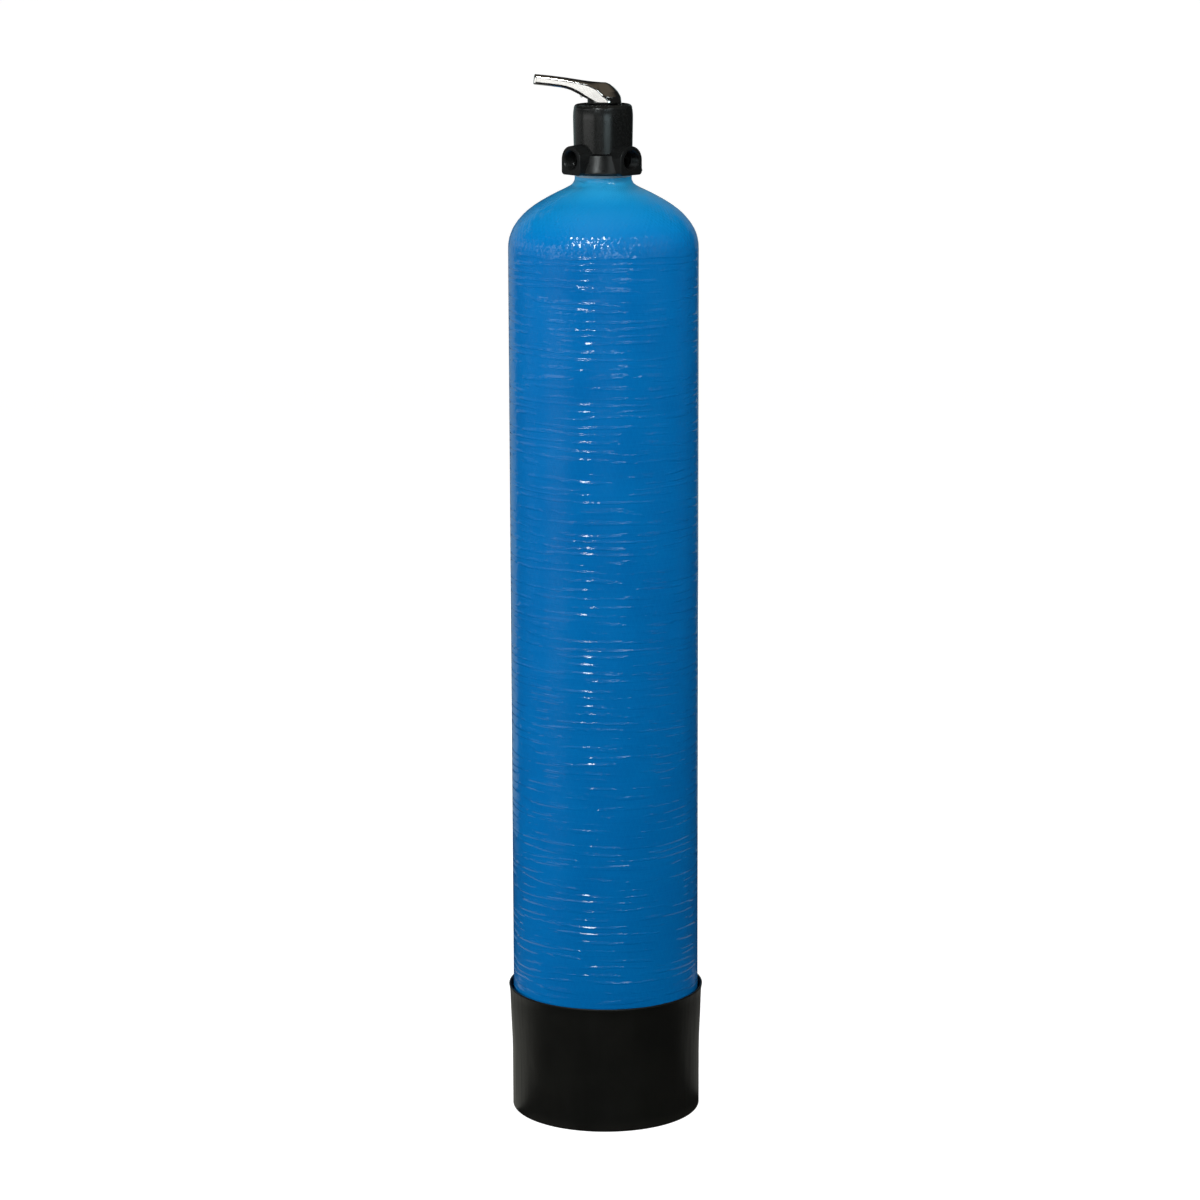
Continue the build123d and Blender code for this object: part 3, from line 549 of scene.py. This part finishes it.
def surface_net(field, lo, hi, step):
    """Mesh of a field's zero surface: one vertex per crossed cell, one quad per crossed edge."""
    axes = [np.arange(lo[i], hi[i] + step, step) for i in range(3)]
    X, Y, Z = np.meshgrid(*axes, indexing="ij")
    v = field(X, Y, Z)
    s = v < 0
    n = v.shape
    c = [m - 1 for m in n]
    total = np.zeros(c + [3])
    count = np.zeros(c)
    for ax in range(3):
        o = [(1, 2), (0, 2), (0, 1)][ax]
        sl0 = [slice(None)] * 3
        sl1 = [slice(None)] * 3
        sl0[ax] = slice(0, n[ax] - 1)
        sl1[ax] = slice(1, n[ax])
        va, vb = v[tuple(sl0)], v[tuple(sl1)]
        cross = (va < 0) != (vb < 0)
        t = np.where(cross, va / np.where(cross, va - vb, 1), 0)
        for i in (0, 1):
            for j in (0, 1):
                q = [slice(None)] * 3
                q[o[0]] = slice(i, i + c[o[0]])
                q[o[1]] = slice(j, j + c[o[1]])
                q = tuple(q)
                m = cross[q]
                off = [0.0, 0.0, 0.0]
                off[o[0]], off[o[1]] = float(i), float(j)
                for d in range(3):
                    total[..., d] += m * (t[q] if d == ax else off[d])
                count += m
    act = count > 0
    idx = -np.ones(c, int)
    idx[act] = np.arange(act.sum())
    ijk = np.argwhere(act)
    pts = (ijk + total[act] / count[act][:, None]) * step + np.array(lo)
    quads = []
    for ax in range(3):
        o = [(1, 2), (2, 0), (0, 1)][ax]
        sl0 = [slice(None)] * 3
        sl1 = [slice(None)] * 3
        sl0[ax] = slice(0, n[ax] - 1)
        sl1[ax] = slice(1, n[ax])
        a_, b_ = s[tuple(sl0)], s[tuple(sl1)]
        e = np.argwhere(a_ != b_)
        e = e[(e[:, o[0]] > 0) & (e[:, o[1]] > 0) & (e[:, o[0]] < c[o[0]]) & (e[:, o[1]] < c[o[1]])]
        flip = ~a_[tuple(e.T)]
        ring = []
        for du, dv in ((-1, -1), (0, -1), (0, 0), (-1, 0)):
            q = e.copy()
            q[:, o[0]] += du
            q[:, o[1]] += dv
            ring.append(idx[tuple(q.T)])
        ring = np.stack(ring, 1)
        ring[flip] = ring[flip][:, ::-1]
        quads.append(ring)
    return pts, np.concatenate(quads)


def grad(field, p, e=0.05):
    g = np.empty_like(p)
    for d in range(3):
        q0, q1 = p.copy(), p.copy()
        q0[:, d] -= e
        q1[:, d] += e
        g[:, d] = (field(*q1.T) - field(*q0.T)) / (2 * e)
    return g


def make_lever():
    pts, quads = surface_net(lever_field, (-99.5, -26.5, 1439.5), (28.5, 26.5, 1486.5), 0.56)
    for _ in range(3):
        g = grad(lever_field, pts)
        f = lever_field(*pts.T)
        pts = pts - np.clip(f / np.maximum((g * g).sum(1), 0.25), -0.4, 0.4)[:, None] * g
    g = grad(lever_field, pts, 0.05) + grad(lever_field, pts, 0.45)
    nrm = g / np.maximum(np.linalg.norm(g, axis=1), 1e-6)[:, None]
    lo, hi = [np.array(q) * 1000 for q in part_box("lever")]
    pts = np.clip(pts, lo, hi)
    o = mesh_object("lever_rounded", pts / 1000.0, quads.tolist())
    o.data.normals_split_custom_set_from_vertices([tuple(q) for q in nrm])
    o.data.materials.append(M_chrome)
    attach(o, "handle")
    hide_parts("lever")
    return o


make_lever()


# ---------------------------------------------------------------- stage, lights
def stage_material():
    m = Tree("studio_white")
    m.p.inputs["Base Color"].default_value = (0.30, 0.30, 0.30, 1)
    m.p.inputs["Roughness"].default_value = 0.9
    m.p.inputs["Specular IOR Level"].default_value = 0.0
    m.p.inputs["Emission Color"].default_value = (1, 1, 1, 1)
    m.p.inputs["Emission Strength"].default_value = 0.97
    return m.mat


def make_stage():
    """One round sweep: a pale floor that turns up into a wall on every side."""
    prof = [(0.0, 0.0), (1.0, 0.0), (3.0, 0.0), (7.0, 0.0)]
    for i in range(1, 13):
        a = math.pi / 2 * i / 12
        prof.append((7.0 + 3.0 * math.sin(a), 3.0 - 3.0 * math.cos(a)))
    prof += [(10.0, 6.0), (10.0, 9.0)]
    seg = 96
    verts = [(0, 0, 0)]
    faces = []
    for r, z in prof[1:]:
        for i in range(seg):
            a = 2 * math.pi * i / seg
            verts.append((r * math.cos(a), r * math.sin(a), z))
    for i in range(seg):
        faces.append((0, 1 + i, 1 + (i + 1) % seg))
    for k in range(len(prof) - 2):
        b0, b1 = 1 + k * seg, 1 + (k + 1) * seg
        for i in range(seg):
            j = (i + 1) % seg
            faces.append((b0 + i, b1 + i, b1 + j, b0 + j))
    o = mesh_object("studio_sweep", verts, faces)
    o.data.materials.append(stage_material())
    o.visible_glossy = False
    o.visible_diffuse = False
    return o


make_stage()


def area(name, loc, target, size_x, size_y, power, colour=(1, 1, 1), glossy=True, diffuse=True):
    d = bpy.data.lights.new(name, "AREA")
    d.shape = "RECTANGLE"
    d.size, d.size_y = size_x, size_y
    d.energy = power
    d.color = colour
    o = bpy.data.objects.new(name, d)
    scene.collection.objects.link(o)
    o.location = loc
    o.rotation_euler = (Vector(target) - Vector(loc)).to_track_quat("-Z", "Y").to_euler()
    o.visible_glossy = glossy
    o.visible_diffuse = diffuse
    o.visible_camera = False
    return o


def at(az, dist, z):
    """A point at that azimuth from the front (to the left when negative), distance and height."""
    a = math.radians(az)
    return (dist * math.sin(a), -dist * math.cos(a), z)


area("key_left", at(-22, 3.2, 3.2), (0, 0, 1.2), 0.64, 0.70, 46, (0.94, 1.0, 1.0))
area("key_right", at(28, 3.2, 3.2), (0, 0, 1.2), 0.8, 0.8, 10, (0.90, 0.98, 1.0))
area("fill_left", at(-60, 3.2, 0.8), (0, 0, 0.6), 1.6, 2.0, 40, (1.0, 1.0, 1.0), glossy=False)
area("wrap_left", at(-98, 3.4, 1.3), (0, 0, 0.8), 1.2, 2.8, 40, (1.0, 1.0, 1.0), glossy=False)
area("fill_right", at(64, 3.2, 2.3), (0, 0, 1.0), 1.6, 2.2, 50, (1.0, 1.0, 1.0), glossy=False)
area("wrap_right", at(108, 3.4, 1.5), (0, 0, 0.9), 1.2, 2.8, 15, (1.0, 1.0, 1.0), glossy=False)
area("fill_front", at(2, 4.5, 1.7), (0, 0, 0.9), 2.4, 2.4, 50, (1.0, 1.0, 1.0), glossy=False)
area("fill_back", at(180, 3.6, 1.8), (0, 0, 0.9), 1.6, 2.6, 34, (1.0, 1.0, 1.0), glossy=False)
area("overhead", (-0.3, -0.6, 4.0), (0, 0, 1.0), 2.6, 2.6, 48, (1.0, 1.0, 1.0), glossy=False)
area("rim_left", at(-150, 3.0, 1.0), (0, 0, 0.8), 1.7, 2.8, 5.0, (0.75, 1.0, 1.0))
area("rim_right", at(166, 3.0, 1.0), (0, 0, 0.8), 0.9, 2.8, 2.2, (0.75, 1.0, 1.0))
area("side_left", at(-58, 1.5, 1.38), (0, 0, 1.41), 1.30, 0.32, 2.0, (1.0, 1.0, 0.98), diffuse=False)
area("edge_left", at(-112, 1.5, 1.38), (0, 0, 1.41), 1.10, 0.32, 0.45, (1.0, 1.0, 1.0), diffuse=False)
area("side_right", at(16, 1.5, 1.38), (0, 0, 1.41), 0.60, 0.32, 1.8, (0.80, 1.0, 1.05), diffuse=False)
area("cheek_card", at(-13, 4.0, 1.23), (0, 0, 1.46), 1.8, 0.28, 2.25, (1.0, 1.0, 0.98), diffuse=False)
area("arc_left", at(-42, 3.2, 3.2), (0, 0, 1.2), 2.6, 0.26, 2.2, (0.9, 1.0, 1.0))
area("arc_right", at(46, 3.2, 3.2), (0, 0, 1.2), 2.8, 0.26, 2.0, (0.9, 1.0, 1.0))
area("foot_left", at(-122, 0.40, 0.003), at(-122, 0.40, 1.0), 0.50, 0.50, 0.36, (1.0, 1.0, 0.90), diffuse=False)
area("foot_right", at(134, 0.40, 0.003), at(134, 0.40, 1.0), 0.50, 0.50, 0.20, (1.0, 1.0, 0.92), diffuse=False)

w = bpy.data.worlds.new("studio_air")
scene.world = w
w.use_nodes = True
wt = w.node_tree
bg = wt.nodes["Background"]
tc = wt.nodes.new("ShaderNodeTexCoord")
sx = wt.nodes.new("ShaderNodeSeparateXYZ")
ramp = wt.nodes.new("ShaderNodeValToRGB")
wt.links.new(tc.outputs["Generated"], sx.inputs[0])
wt.links.new(sx.outputs["Z"], ramp.inputs[0])
ramp.color_ramp.elements[0].position = 0.50
ramp.color_ramp.elements[0].color = (0.010, 0.010, 0.010, 1)
ramp.color_ramp.elements[1].position = 0.80
ramp.color_ramp.elements[1].color = (0.085, 0.072, 0.056, 1)
wt.links.new(ramp.outputs[0], bg.inputs[0])
bg.inputs[1].default_value = 1.0
